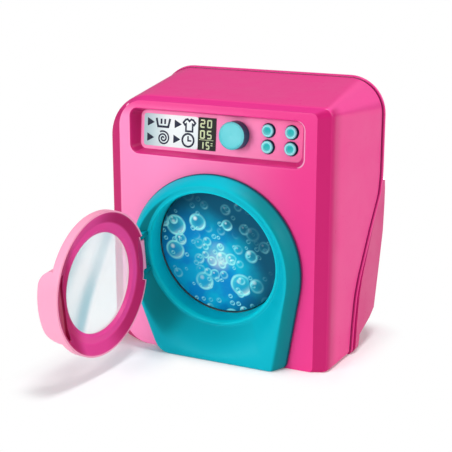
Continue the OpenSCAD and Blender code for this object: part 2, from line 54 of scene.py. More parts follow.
# The control panel leans back in its recess
TILT = math.radians(5)
PANEL_HEIGHT = 152.2
PANEL_CENTRE = Vector((0, 7 + 15.3 * math.tan(TILT), PANEL_HEIGHT))
PANEL_UP = Vector((0, math.sin(TILT), math.cos(TILT)))
PANEL_OUT = Vector((0, -math.cos(TILT), math.sin(TILT)))
KNOB_X, KNOB_Y = 12.2, 1.2
BUTTON_X, BUTTON_Y = 43.2, 0.6
BUTTON_HALF_X, BUTTON_HALF_Y = 8.15, 5.3
BUTTONS = [(BUTTON_X + i * BUTTON_HALF_X, BUTTON_Y + j * BUTTON_HALF_Y) for i in (-1, 1) for j in (-1, 1)]


def metres(p):
    return Vector((p[0], p[1] - MIDDLE, p[2])) * MM


def on_ring(x, y, z):
    return RING_CENTRE + Vector((x, 0, 0)) + y * RING_UP + z * RING_OUT


def on_panel(x, y, z):
    return PANEL_CENTRE + Vector((x, 0, 0)) + y * PANEL_UP + z * PANEL_OUT


# The open door: its middle, the axis through its window and the way to its hinge side
DOOR_TURN = Matrix.Rotation(math.radians(-95), 3, RING_UP)
HINGE = on_ring(HINGE_X, 0, HINGE_OUT)
DOOR_CENTRE = metres(HINGE + DOOR_TURN @ (RING_CENTRE - HINGE))
DOOR_AXIS = DOOR_TURN @ RING_OUT
DOOR_SIDE = DOOR_AXIS.cross(RING_UP)


# Small geometry helpers

def soften(path, radii, steps=4):
    """Rounds the inner corners of a path of vectors, each over less than half of its two sides.

    radii is one number or one a corner.
    """
    path = [Vector(p) for p in path]
    if not hasattr(radii, "__len__"):
        radii = [radii] * (len(path) - 2)
    out = [path[0]]
    for before, here, after, radius in zip(path, path[1:], path[2:], radii):
        a, b = [here + side * min(0.45, radius / max(side.length, 1e-6))
                for side in (before - here, after - here)]
        for i in range(steps + 1):
            t = i / steps
            out.append(a * (1 - t) ** 2 + here * 2 * t * (1 - t) + b * t ** 2)
    return out + [path[-1]]


def rounded_box(w, h, r):
    """Points round a rectangle with round corners, and one in the middle of each side."""
    x, y = w / 2 - r, h / 2 - r
    return joined_arcs([(x, -y, r, -90), (x, y, r, 0), (-x, y, r, 90), (-x, -y, r, 180)], 8, (1, 1))


def joined_arcs(corners, steps, between):
    """Four quarter arcs (x, y, radius, start) with points added on the sides between them."""
    arcs = []
    for x, y, r, start in corners:
        turn = [math.radians(start + 90 * i / steps) for i in range(steps + 1)]
        arcs.append([(x + r * math.cos(a), y + r * math.sin(a)) for a in turn])
    out = []
    for k, arc in enumerate(arcs):
        out += arc
        a, b = Vector(arc[-1]), Vector(arcs[(k + 1) % 4][0])
        count = between[k % 2]
        out += [tuple(a.lerp(b, i / (count + 1))) for i in range(1, count + 1)]
    return out


def circle(radius, count):
    turn = [2 * math.pi * i / count for i in range(count)]
    return [(radius * math.cos(a), radius * math.sin(a)) for a in turn]


def add_row(bm, points):
    return [bm.verts.new(metres(p)) for p in points]


def join_rows(bm, rows, closed=True, slot=0):
    """Faces between rows of vertices of equal length."""
    for a, b in zip(rows, rows[1:]):
        n = len(a)
        for i in range(n if closed else n - 1):
            j = (i + 1) % n
            bm.faces.new((a[i], a[j], b[j], b[i])).material_index = slot


def fill_flat(bm, loops):
    """A flat face with holes, between closed rows of vertices."""
    edges = []
    for row in loops:
        for i, v in enumerate(row):
            w = row[(i + 1) % len(row)]
            edges.append(bm.edges.get((v, w)) or bm.edges.new((v, w)))
    bmesh.ops.triangle_fill(bm, use_beauty=True, use_dissolve=False, edges=edges)


def placed(name, data):
    """A new object in the scene."""
    made = bpy.data.objects.new(name, data)
    bpy.context.scene.collection.objects.link(made)
    return made


def finished(bm, name, material, body, stands_for=(), keep_sharp=None):
    """The mesh as a smooth piece of the machine, riding on its body."""
    bmesh.ops.recalc_face_normals(bm, faces=bm.faces)
    mesh = bpy.data.meshes.new(name)
    bm.to_mesh(mesh)
    bm.free()
    mesh.shade_smooth()
    mesh.materials.append(material)
    piece = placed(name, mesh)
    if keep_sharp:
        split = piece.modifiers.new("crisp edges", "EDGE_SPLIT")
        split.split_angle = math.radians(keep_sharp)
    weighted = piece.modifiers.new("flat faces stay flat", "WEIGHTED_NORMAL")
    weighted.weight = 80
    weighted.keep_sharp = True
    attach(piece, body)
    if stands_for:
        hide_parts(*stands_for)
    return piece


# Shader helpers

def feed(tree, made, sources):
    """Links each socket of a node to its source, or sets it to a value."""
    for socket, source in sources.items():
        if isinstance(source, bpy.types.NodeSocket):
            tree.links.new(source, made.inputs[socket])
        else:
            made.inputs[socket].default_value = source


def node(tree, kind, sources=None, **settings):
    """A shader node with its settings and its incoming links or values."""
    made = tree.nodes.new("ShaderNode" + kind)
    for key, value in settings.items():
        setattr(made, key, value)
    feed(tree, made, sources or {})
    return made


def maths(tree, operation, a, b=0.0, c=0.0, clamp=False):
    return node(tree, "Math", {0: a, 1: b, 2: c}, operation=operation, use_clamp=clamp).outputs[0]


def times(tree, first, *others):
    for other in others:
        first = maths(tree, "MULTIPLY", first, other)
    return first


def larger(tree, a, b):
    return maths(tree, "MAXIMUM", a, b)


def folded(tree, value, middle, half):
    """How far a value lies past either end of a span, below zero inside it."""
    return maths(tree, "SUBTRACT", maths(tree, "ABSOLUTE", maths(tree, "SUBTRACT", value, middle)), half)


def vectors(tree, operation, a, b=(0.0, 0.0, 0.0)):
    made = node(tree, "VectorMath", {0: a, 1: b}, operation=operation)
    return made.outputs["Value" if operation in ("DOT_PRODUCT", "LENGTH", "DISTANCE") else "Vector"]


def scaled(tree, vector, factor):
    return node(tree, "VectorMath", {0: vector, "Scale": factor}, operation="SCALE").outputs["Vector"]


def from_axis(tree, local, axis):
    """How far a place lies from an axis through the origin."""
    return vectors(tree, "LENGTH", vectors(tree, "CROSS_PRODUCT", local, axis))


def parts(tree, vector):
    return list(node(tree, "SeparateXYZ", {0: vector}).outputs)


def paired(tree, a, b):
    """Two values as a flat vector."""
    return node(tree, "CombineXYZ", {0: a, 1: b}).outputs[0]


def own_place(tree):
    return node(tree, "TexCoord").outputs["Object"]


def own_facing(tree):
    return parts(tree, node(tree, "TexCoord").outputs["Normal"])


def noise(tree, place, scale, detail, **more):
    made = node(tree, "TexNoise", {"Vector": place, "Scale": scale, "Detail": detail, **more})
    return made.outputs["Fac"]


def ramp(tree, value, start, end, low=0.0, high=1.0, kind="LINEAR"):
    """A value that goes from low to high while another goes from start to end."""
    made = node(tree, "MapRange", {"Value": value, 1: start, 2: end, 3: low, 4: high},
                interpolation_type=kind)
    return made.outputs[0]


def faded(tree, value, start, end, low=0.0, high=1.0):
    """A ramp with soft ends."""
    return ramp(tree, value, start, end, low, high, "SMOOTHSTEP")


def blended(tree, share, a, b):
    """The colour a that turns into b by its share; sockets 6 and 7 of the node take colours."""
    return node(tree, "Mix", {0: share, 6: a, 7: b}, data_type="RGBA").outputs[2]


def painted(tree, colour, layers):
    """Tints laid over a colour in turn, each by its own mask."""
    for mask, tint in layers:
        colour = blended(tree, mask, colour, (*tint, 1))
    return colour


# Shader groups shared by the finishes

def group(name, inputs, outputs):
    """An empty shader group, its incoming sockets and the node that gives its results."""
    tree = bpy.data.node_groups.new(name, "ShaderNodeTree")
    for way, sockets in (("INPUT", inputs), ("OUTPUT", outputs)):
        for kind, label in sockets:
            tree.interface.new_socket(label, in_out=way, socket_type="NodeSocket" + kind)
    start = tree.nodes.new("NodeGroupInput")
    return tree, start.outputs[:len(inputs)], tree.nodes.new("NodeGroupOutput")


def moulded_skin():
    """Faint orange peel and uneven gloss of an injection-moulded wall."""
    tree, (place, grain, low, high), end = group(
        "moulded skin",
        [("Vector", "Place"), ("Float", "Grain"), ("Float", "Gloss low"), ("Float", "Gloss high")],
        [("Float", "Roughness"), ("Float", "Height")])
    peel = noise(tree, place, scale=grain, detail=3.0, Roughness=0.6)
    patches = ramp(tree, noise(tree, place, scale=38.0, detail=5.0), 0.35, 0.7, low, high)
    dust = ramp(tree, noise(tree, place, scale=420.0, detail=2.0), 0.66, 0.74, 0.0, 0.16)
    feed(tree, end, {0: maths(tree, "ADD", patches, dust), 1: peel})
    return tree


def edge_wear_and_sheen():
    """Mask of the thin paler line along an edge, partly rubbed by fingers and partly painted sheen, and the
    softened normal there.
    """
    tree, (place, width), end = group(
        "rubbed and sheened edges", [("Vector", "Place"), ("Float", "Width")],
        [("Float", "Mask"), ("Vector", "Soft normal")])
    soft = node(tree, "Bevel", {"Radius": width}, samples=6).outputs[0]
    flat = node(tree, "NewGeometry").outputs["Normal"]
    turn = maths(tree, "SUBTRACT", 1.0, vectors(tree, "DOT_PRODUCT", soft, flat))
    line = maths(tree, "MULTIPLY", turn, 7.0, clamp=True)
    patchy = ramp(tree, noise(tree, place, scale=160.0, detail=4.0), 0.35, 0.62, 0.25, 1.0)
    feed(tree, end, {0: times(tree, line, patchy), 1: soft})
    return tree


def colour_drift():
    """Slow change of shade through a moulded wall, from how the melt flowed."""
    tree, (place, colour, second, amount), end = group(
        "colour drift",
        [("Vector", "Place"), ("Color", "Colour"), ("Color", "Second colour"), ("Float", "Amount")],
        [("Color", "Colour")])
    flow = noise(tree, place, scale=9.0, detail=2.0, Distortion=0.6)
    fine = noise(tree, place, scale=140.0, detail=4.0)
    both = maths(tree, "ADD", times(tree, flow, 0.8), times(tree, fine, 0.2))
    share = times(tree, ramp(tree, both, 0.36, 0.64), amount)
    feed(tree, end, {0: blended(tree, share, colour, second)})
    return tree


SKIN, EDGES, DRIFT = moulded_skin(), edge_wear_and_sheen(), colour_drift()


def blank(name):
    """A new material, its tree and its shader."""
    material = bpy.data.materials.new(name)
    material.use_nodes = True
    return material, material.node_tree, material.node_tree.nodes["Principled BSDF"]


def skinned(tree, place, grain, gloss):
    """The roughness and the height of a moulded skin; gloss is its lowest and highest roughness."""
    return node(tree, "Group", {0: place, "Grain": grain, "Gloss low": gloss[0], "Gloss high": gloss[1]},
                node_tree=SKIN).outputs[:2]


def bumped(tree, height, strength, distance, **normal):
    return node(tree, "Bump", {"Height": height, "Strength": strength, "Distance": distance,
                               **normal}).outputs[0]


def plastic(name, colour, second, worn_and_sheen, gloss=(0.28, 0.4), coat=0.03, edge=0.0008, wear_and_sheen=0.22,
            shine=0.16, tones=None):
    """Moulded plastic: two shades of its colour, paler edges that are partly rubbed and partly painted
    sheen, faint peel.

    edge is the width of the paler edge line in metres, the next number how strongly rubbing
    and painted sheen pale it, and tones lays painted light and shade, and some tints, on one moulding only.
    """
    material, tree, shader = blank(name)
    place = own_place(tree)
    roughness, height = skinned(tree, place, grain=900.0, gloss=gloss)
    wear_and_sheen_line, soft_normal = node(tree, "Group", {0: place, "Width": edge}, node_tree=EDGES).outputs[:2]
    base = node(tree, "Group", {0: place, "Colour": (*colour, 1), "Second colour": (*second, 1),
                                "Amount": 0.35}, node_tree=DRIFT).outputs[0]
    if tones:
        base = tones(tree, place, base)
    feed(tree, shader, {
        # Paler edges: partly rubbed plastic, partly painted sheen
        "Base Color": painted(tree, base, [(times(tree, wear_and_sheen_line, wear_and_sheen), worn_and_sheen)]),
        "Roughness": roughness,
        "Normal": bumped(tree, height, strength=0.06, distance=0.0002, Normal=soft_normal),
        "Coat Weight": coat, "Coat Roughness": 0.12, "Specular IOR Level": shine})
    return material


# Tints that the tones lay over the plastics; most of them are painted light and shade

PAINTED_LIGHT_FRONT, PAINTED_SHADE_BEVEL, PAINTED_HIGHLIGHT_LIP = (0.93, 0.25, 0.50), (0.45, 0.004, 0.11), (0.95, 0.50, 0.70)
PAINTED_SHADE_SLOPE, PAINTED_LIGHT_CORNER = (0.60, 0.024, 0.20), (0.97, 0.10, 0.37)
PALE_DOOR, PAINTED_SHADE_DOOR = (0.90, 0.34, 0.50), (0.40, 0.006, 0.09)
BUTTON_RIM, BUTTON_DIMPLE, BUTTON_WALL_SHADE = (0.35, 0.85, 0.86), (0.006, 0.42, 0.42), (0.01, 0.11, 0.16)
KNOB_SHADE, KNOB_WALL_SHADE = (0.045, 0.46, 0.52), (0.010, 0.09, 0.15)
ARCH_SLOPE_SHADE, ARCH_THROAT_LIGHT, ARCH_FOOT_SHADOW = (0.0, 0.17, 0.19), (0.0, 0.70, 0.80), (0.004, 0.02, 0.06)


# Masks of the tones: places and sizes are in metres, facings in parts of a unit normal

RECESS_Z, RECESS_HALF_HEIGHT, RECESS_HALF_WIDTH = 0.152, 0.018, 0.0665


def recess_mask(tree, x, z):
    """The box in which the control panel's recess lies."""
    return times(tree, maths(tree, "COMPARE", z, RECESS_Z, RECESS_HALF_HEIGHT),
                 maths(tree, "COMPARE", x, 0.0, RECESS_HALF_WIDTH))


def panel_floor(tree, place):
    """The plane of the recess's floor, in all directions."""
    local = vectors(tree, "SUBTRACT", place, metres(PANEL_CENTRE))
    height = maths(tree, "ABSOLUTE", vectors(tree, "DOT_PRODUCT", local, PANEL_OUT))
    return maths(tree, "LESS_THAN", height, 0.0004)


def front_bevels(tree, x, y, facing):
    """Where shade is painted: the bevels beside the front, the left side of the recess and a soft strip down
    the right side.
    """
    right, forward, _ = facing
    slope = times(tree, faded(tree, forward, -0.985, -0.95), faded(tree, forward, -0.45, -0.85))
    bevel = times(tree, slope, faded(tree, maths(tree, "ABSOLUTE", right), 0.12, 0.34))
    bank = times(tree, faded(tree, right, 0.2, 0.45), faded(tree, x, -0.045, -0.05))
    strip = times(tree, faded(tree, right, 0.5, 0.8), faded(tree, y, -0.021, -0.0375, 0.0, 0.7))
    return larger(tree, times(tree, larger(tree, bevel, bank), 0.85), strip)


def front_tones(tree, place, colour):
    """Painted light and shade on the front: a pale veil of painted light on the flat front and the recess
    floor, fading out to the right and the top; painted shade on upward slopes and deeper bevels; painted
    highlights on the upper right corner and the recess's lip.
    """
    x, y, z = parts(tree, place)
    facing = own_facing(tree)
    right, forward, upward = facing
    recess = recess_mask(tree, x, z)
    # Painted light: a pale veil on the flat front and on the recess floor
    flat = times(tree, faded(tree, forward, -0.93, -0.985), faded(tree, x, 0.066, -0.045),
                 faded(tree, z, 0.174, 0.160))
    floor = times(tree, panel_floor(tree, place), recess, faded(tree, x, 0.10, 0.0))
    # Painted shade on the slopes that face upwards
    slope = times(tree, faded(tree, upward, 0.10, 0.35), faded(tree, upward, 0.97, 0.80), 0.8)
    # Painted highlight on the corner that faces right and up
    corner = times(tree, faded(tree, right, 0.15, 0.40), faded(tree, upward, 0.15, 0.45), 0.6)
    # Painted highlight along the lip of the recess
    lip = times(tree, recess, maths(tree, "LESS_THAN", y, -0.0398),
                faded(tree, right, -0.12, -0.35, 0.0, 0.8))
    return painted(tree, colour, [
        (slope, PAINTED_SHADE_SLOPE), (corner, PAINTED_LIGHT_CORNER), (front_bevels(tree, x, y, facing), PAINTED_SHADE_BEVEL),
        (lip, PAINTED_HIGHLIGHT_LIP), (larger(tree, flat, floor), PAINTED_LIGHT_FRONT)])


def door_tones(tree, place, colour):
    """The outer wall and the grip are paler than the dished side, which has painted shade at the left and
    right.
    """
    local = vectors(tree, "SUBTRACT", place, DOOR_CENTRE)
    radius = from_axis(tree, local, DOOR_AXIS)
    along = vectors(tree, "DOT_PRODUCT", local, DOOR_AXIS)
    side = vectors(tree, "DOT_PRODUCT", local, DOOR_SIDE)
    outer_wall = faded(tree, radius, 0.0466, 0.0474)
    outer_face = faded(tree, along, 0.0052, 0.0068)
    hinge_bank = times(tree, faded(tree, radius, 0.0392, 0.0410), faded(tree, side, -0.006, 0.022, 0.2, 1.0))
    grip_bank = faded(tree, side, -0.020, -0.034)
    deep = times(tree, larger(tree, hinge_bank, grip_bank), 0.92)
    return painted(tree, colour, [(deep, PAINTED_SHADE_DOOR), (larger(tree, outer_wall, outer_face), PALE_DOOR)])


def button_tones(tree, place, colour):
    """The dimple of a button is a deeper green-blue than its rim, and its side is painted dark as shade."""
    local = vectors(tree, "SUBTRACT", place, metres(PANEL_CENTRE))
    x = folded(tree, parts(tree, local)[0], BUTTON_X * MM, BUTTON_HALF_X * MM)
    y = folded(tree, vectors(tree, "DOT_PRODUCT", local, PANEL_UP), BUTTON_Y * MM, BUTTON_HALF_Y * MM)
    radius = vectors(tree, "LENGTH", paired(tree, x, y))
    rim = times(tree, faded(tree, radius, 0.0024, 0.0029), faded(tree, radius, 0.0043, 0.0039), 0.7)
    dimple = faded(tree, radius, 0.0027, 0.0016)
    wall = faded(tree, radius, 0.00395, 0.00415)
    return painted(tree, colour, [(rim, BUTTON_RIM), (dimple, BUTTON_DIMPLE), (wall, BUTTON_WALL_SHADE)])


def knob_tones(tree, place, colour):
    """Painted shade: the knob's face is darker to the lower left, and its side wall is dark."""
    local = vectors(tree, "SUBTRACT", place, metres(on_panel(KNOB_X, KNOB_Y, 0)))
    slant = vectors(tree, "DOT_PRODUCT", local, (0.5, 0.0, 0.85))
    shade = faded(tree, slant, 0.004, -0.006, 0.0, 0.6)
    wall = faded(tree, from_axis(tree, local, PANEL_OUT), 0.00895, 0.00925)
    return painted(tree, colour, [(shade, KNOB_SHADE), (wall, KNOB_WALL_SHADE)])


def arch_tones(tree, place, colour):
    """Painted light and shade: the arch's slopes that turn right get painted shade, its throat painted light
    and its foot a painted shadow.
    """
    right, forward, _ = own_facing(tree)
    x, y, z = parts(tree, place)
    radius = vectors(tree, "DISTANCE", paired(tree, x, z), (0.0, RING_HEIGHT * MM, 0.0))
    slope = faded(tree, right, 0.10, 0.55, 0.0, 0.85)
    throat = faded(tree, radius, 0.0488, 0.0462, 0.0, 0.75)
    outside = times(tree, maths(tree, "GREATER_THAN", radius, 0.054), faded(tree, forward, -0.72, -0.55))
    foot = times(tree, faded(tree, y, -0.0448, -0.0430, 0.0, 0.9), outside)
    return painted(tree, colour, [(slope, ARCH_SLOPE_SHADE), (throat, ARCH_THROAT_LIGHT), (foot, ARCH_FOOT_SHADOW)])


# The other materials

def metal(name, colour):
    """Plated or turned metal with fine tool lines."""
    material, tree, shader = blank(name)
    place = own_place(tree)
    drawn = node(tree, "Mapping", {"Vector": place, "Scale": (900.0, 60.0, 900.0)})
    lines = noise(tree, drawn.outputs[0], scale=1.0, detail=4.0)
    edges = node(tree, "Group", {0: place, "Width": 0.0003}, node_tree=EDGES)
    dull = tuple(c * 0.7 for c in colour)
    feed(tree, shader, {
        "Base Color": painted(tree, (*colour, 1), [(ramp(tree, lines, 0.45, 0.75, 0.0, 0.6), dull)]),
        "Roughness": ramp(tree, lines, 0.3, 0.7, 0.22, 0.4),
        "Normal": bumped(tree, lines, strength=0.15, distance=0.0001, Normal=edges.outputs[1]),
        "Metallic": 1.0})
    return material


def printed(name, colour, second, fade=(-0.058, -0.044)):
    """Printed film: even ink that fades from one colour to the second, and a faint screen grain; on the
    label the first colour, at its left, is painted shade.
    """
    material, tree, shader = blank(name)
    place = own_place(tree)
    across = times(tree, faded(tree, parts(tree, place)[0], *fade), 0.85)
    cloud = times(tree, noise(tree, place, scale=90.0, detail=3.0), 0.15)
    share = maths(tree, "ADD", across, cloud, clamp=True)
    roughness, height = skinned(tree, place, grain=2500.0, gloss=(0.3, 0.4))
    feed(tree, shader, {
        "Base Color": painted(tree, (*colour, 1), [(share, second)]),
        "Roughness": roughness,
        "Normal": bumped(tree, height, strength=0.04, distance=0.0001),
        "Specular IOR Level": 0.15})
    return material


WATER, DEEP_WATER, SHADED_WATER = (0.0, 0.53, 0.76), (0.0, 0.28, 0.66), (0.0, 0.075, 0.14)
BUBBLE_GLOW, BUBBLE_RIM, BUBBLE_GLINT = (0.06, 0.66, 0.76), (0.30, 0.95, 0.95), (0.85, 1.0, 0.98)
FOAM = (0.72, 0.95, 0.95)


def bubble_layer():
    """Round bubbles, one to a cell, some cells left out: bright rim, glow inside, soft glint."""
    tree, (place, count, share, width), end = group(
        "bubble layer",
        [("Vector", "Place"), ("Float", "Cells"), ("Float", "Share"), ("Float", "Rim")],
        [("Float", "Rim"), ("Float", "Inside"), ("Float", "Glint")])
    cells = node(tree, "TexVoronoi", {"Vector": place, "Scale": count, "Randomness": 0.7},
                 voronoi_dimensions="2D", feature="F1")
    size, chance = node(tree, "SeparateColor", {0: cells.outputs["Color"]}).outputs[:2]
    there = maths(tree, "LESS_THAN", chance, share)
    radius = ramp(tree, size, 0.0, 1.0, 0.16, 0.33)
    away = cells.outputs["Distance"]
    arm = vectors(tree, "SUBTRACT", scaled(tree, place, count),
                  scaled(tree, cells.outputs["Position"], count))
    side = vectors(tree, "DOT_PRODUCT", arm, (-0.6, 0.8, 0.0))
    rim = ramp(tree, maths(tree, "ABSOLUTE", maths(tree, "SUBTRACT", away, radius)), width, 0.0, 0.0, 1.6)
    lit = ramp(tree, maths(tree, "ABSOLUTE", side), 0.02, 0.25, 0.35, 1.0)
    depth = maths(tree, "DIVIDE", away, radius)
    inside = times(tree, ramp(tree, depth, 1.0, 0.94),
                   ramp(tree, maths(tree, "POWER", depth, 2.5), 0.0, 1.0, 0.25, 1.0))
    crescent = ramp(tree, times(tree, side, -1.0), 0.10, 0.30, 0.0, 0.9)
    spot = ramp(tree, vectors(tree, "DISTANCE", arm, (-0.08, 0.11, 0.0)), 0.09, 0.03, 0.0, 0.9)
    glint = larger(tree, spot, times(tree, crescent, inside))
    feed(tree, end, {0: times(tree, maths(tree, "MULTIPLY", rim, lit, clamp=True), there),
                     1: times(tree, inside, there), 2: times(tree, glint, there)})
    return tree


def water(tree, flat, x, cloud):
    """Blue water and a mask of painted shade, which thickens to the top and the right."""
    # Painted shade over the sunken picture, darkest to the top and the right
    middle = vectors(tree, "DISTANCE", flat, (-0.016, 0.056, 0.0))
    water_shade = maths(tree, "ADD", ramp(tree, middle, 0.020, 0.052), times(tree, cloud, 0.45))
    left = faded(tree, x, 0.012, -0.030, 0.0, 0.45)
    shade = maths(tree, "ADD", faded(tree, cloud, 0.40, 0.58), left, clamp=True)
    colour = painted(tree, (*WATER, 1), [
        (shade, DEEP_WATER), (faded(tree, water_shade, 0.30, 1.2), SHADED_WATER)])
    return colour, water_shade


def bubble_picture():
    """Water with bubbles of several sizes, thickest in the middle, and foam at its heart."""
    layer = bubble_layer()
    material, tree, shader = blank("bubble picture")
    place = own_place(tree)
    x, _, z = parts(tree, place)
    flat = paired(tree, x, z)
    cloud = noise(tree, flat, scale=30.0, detail=4.0)
    colour, water_shade = water(tree, flat, x, cloud)
    heart = vectors(tree, "DISTANCE", flat, (-0.002, 0.068, 0.0))
    near = faded(tree, heart, 0.024, 0.004)
    crowd = times(tree, larger(tree, faded(tree, cloud, 0.40, 0.54, 0.35, 1.0), near),
                  faded(tree, water_shade, 1.15, 0.75, 0.12, 1.0))
    # Cells a metre, share of full cells, rim, strength and shift; bubbles without a strength
    # of their own fill the middle only
    for cells, share, rim, strength, shift in (
            (44.0, 0.60, 0.050, 0.95, 0.41), (78.0, 0.50, 0.070, 0.9, 0.32),
            (95.0, 0.95, 0.085, None, 0.56), (190.0, 0.28, 0.11, 0.7, 0.77)):
        moved = vectors(tree, "ADD", flat, (shift, shift * 0.4, 0.0))
        bubbles = node(tree, "Group", {0: moved, 1: cells, 2: share, 3: rim}, node_tree=layer).outputs
        shown = times(tree, crowd, strength) if strength else near
        colour = painted(tree, colour, [
            (times(tree, bubbles["Inside"], shown), BUBBLE_GLOW),
            (times(tree, bubbles["Rim"], shown), BUBBLE_RIM),
            (times(tree, bubbles["Glint"], shown), BUBBLE_GLINT)])
    foam = times(tree, faded(tree, heart, 0.013, 0.002), faded(tree, cloud, 0.40, 0.62, 0.15, 0.75))
    roughness, height = skinned(tree, place, grain=1500.0, gloss=(0.4, 0.5))
    feed(tree, shader, {
        "Base Color": painted(tree, colour, [(foam, FOAM)]),
        "Roughness": roughness,
        "Normal": bumped(tree, height, strength=0.03, distance=0.0001),
        "Specular IOR Level": 0.1})
    return material


def clear_window():
    """Clear moulded window with milky and bluish haze in soft slanting streaks."""
    material, tree, shader = blank("clear window")
    place = own_place(tree)
    drawn = node(tree, "Mapping", {"Vector": place, "Scale": (0.1, 0.036, 0.17),
                                   "Rotation": (-0.55, 0.0, 0.0)}, vector_type="TEXTURE")
    streak = noise(tree, drawn.outputs[0], scale=1.0, detail=1.5, Roughness=0.4)
    bluish = faded(tree, streak, 0.47, 0.60)
    roughness, _ = skinned(tree, place, grain=500.0, gloss=(0.06, 0.14))
    feed(tree, shader, {
        "Base Color": painted(tree, (0.98, 0.985, 0.98, 1), [(bluish, (0.36, 0.60, 0.66))]),
        "Roughness": roughness,
        "Alpha": faded(tree, streak, 0.44, 0.60, 0.36, 0.66),
        "Coat Weight": 0.5})
    return material


# Finishes: each plastic has its colour, a second shade and the colour of its paler edges, partly rubbed and
# partly painted sheen

# The back shell's and battery cover's pink is painted darker than the front's, as shade
PINK = plastic("pink plastic", (0.62, 0.018, 0.18), (0.58, 0.015, 0.16), (0.75, 0.09, 0.32))
FRONT_PINK = plastic("front pink plastic", (0.78, 0.040, 0.25), (0.75, 0.034, 0.23), (0.90, 0.14, 0.42),
                     tones=front_tones)
# Darker pink that paints shade into the groove and along the rim's back edge
GROOVE_SHADE_PINK = plastic("pink plastic with painted shade in the groove", (0.27, 0.006, 0.085), (0.24, 0.006, 0.075),
                      (0.5, 0.03, 0.2))
DOOR_PINK = plastic("door pink plastic", (0.80, 0.06, 0.30), (0.72, 0.045, 0.24), (0.95, 0.30, 0.50),
                    tones=door_tones)
TURQUOISE = plastic("turquoise plastic", (0.0, 0.43, 0.53), (0.0, 0.40, 0.50), (0.02, 0.52, 0.62),
                    gloss=(0.42, 0.52), coat=0.0, wear_and_sheen=0.12, shine=0.08, tones=arch_tones)
PALE_BLUE = plastic("pale blue plastic", (0.15, 0.60, 0.65), (0.10, 0.52, 0.58), (0.40, 0.82, 0.85),
                    edge=0.0005, tones=knob_tones)
BUTTON_BLUE = plastic("button blue plastic", (0.13, 0.60, 0.65), (0.10, 0.55, 0.60), (0.40, 0.82, 0.85),
                      edge=0.0003, tones=button_tones)
BLUE = plastic("blue plastic", (0.0, 0.24, 0.36), (0.0, 0.20, 0.32), (0.05, 0.3, 0.5))
WHITE = plastic("white plastic", (0.78, 0.78, 0.75), (0.72, 0.72, 0.70), (0.9, 0.9, 0.9), gloss=(0.4, 0.55))
GREY = plastic("grey plastic", (0.60, 0.61, 0.64), (0.54, 0.55, 0.58), (0.75, 0.76, 0.8), gloss=(0.4, 0.55))
BLACK = plastic("black plastic", (0.018, 0.018, 0.02), (0.03, 0.03, 0.032), (0.1, 0.1, 0.1),
                gloss=(0.35, 0.5))
RUBBER = plastic("keypad rubber", (0.55, 0.55, 0.53), (0.48, 0.48, 0.47), (0.6, 0.6, 0.6),
                 gloss=(0.6, 0.8), coat=0.0)
BOARD = plastic("circuit board", (0.02, 0.17, 0.07), (0.015, 0.12, 0.05), (0.3, 0.3, 0.15),
                gloss=(0.25, 0.4))
JACKET = plastic("cell jacket", (0.52, 0.36, 0.08), (0.45, 0.3, 0.06), (0.7, 0.55, 0.3), gloss=(0.18, 0.3))
STEEL = metal("plated steel", (0.62, 0.62, 0.63))
BRASS = metal("turned brass", (0.72, 0.52, 0.22))
# The label's darker teal at its left is painted shade
LABEL = printed("printed label", (0.28, 0.47, 0.50), (0.80, 0.88, 0.88), fade=(-0.060, -0.034))
SCREEN = printed("black display", (0.003, 0.004, 0.003), (0.005, 0.006, 0.004))
INK = printed("navy ink", (0.006, 0.010, 0.030), (0.008, 0.014, 0.040))
DIGITS = printed("pale digits", (0.62, 0.72, 0.42), (0.52, 0.64, 0.38), fade=(-0.012, -0.004))
BUBBLES = bubble_picture()
WINDOW = clear_window()

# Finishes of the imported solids; screws, shafts and the like, which aren't named, are of steel
FINISHES = {
    "back_shell": PINK, "battery_cover": PINK, "door_frame": DOOR_PINK, "door_window": WINDOW,
    "control_label": LABEL, "display": SCREEN, "knob": PALE_BLUE, "button_upper_left": BUTTON_BLUE,
    "button_upper_right": BUTTON_BLUE, "button_lower_left": BUTTON_BLUE, "button_lower_right": BUTTON_BLUE,
    "drum": BLUE, "drum_print": BUBBLES, "drum_tub": GREY, "gear_plate": GREY, "drum_gear": WHITE,
    "battery_box": WHITE, "switch_slider": WHITE, "lamp": WINDOW, "speaker": BLACK,
    "power_switch": BLACK, "knob_switch": BLACK, "keypad": RUBBER, "circuit_board": BOARD,
    "batteries": JACKET, "drum_bush": BRASS, "motor_pinion": BRASS}


def dress_solids():
    for name, solid in NODES.items():
        solid.data.materials.clear()
        solid.data.materials.append(FINISHES.get(name, STEEL))


# Front shell

# The body's outline grows evenly from the front's edge to the rear rim; the seam is solved
# between WALL_START and WALL_LIMIT
WALL_FRONT, WALL_LENGTH = 4, 87
FRONT_WIDTH, MORE_WIDTH = 163, 9
FRONT_HEIGHT, MORE_HEIGHT = 176.4, 8.6
FRONT_RADII, REAR_RADII = (6, 31, 20, 3), (25, 25, 12, 5)
WALL_START, WALL_LIMIT = 14.0, 92.0
CORNER_STEPS, POINTS_BETWEEN = 14, (44, 8)
PORT_HEIGHT, PORT_RADIUS = 71.4, 52.5
BUTTON_HOLE = 4.8

# Height and depth along the seam between the two shells, from the top to the ground
SEAM = soften([(195, 91), (118, 91), (105, 88.5), (82, 73), (52, 55), (40, 50), (20, 46.5), (-5, 44)], 4)


def shell_size(y):
    """Width, height and corner radii of the body's outline at a depth."""
    t = (y - WALL_FRONT) / WALL_LENGTH
    radii = [a + (b - a) * t for a, b in zip(FRONT_RADII, REAR_RADII)]
    return [FRONT_WIDTH + MORE_WIDTH * t, FRONT_HEIGHT + MORE_HEIGHT * t, *radii]


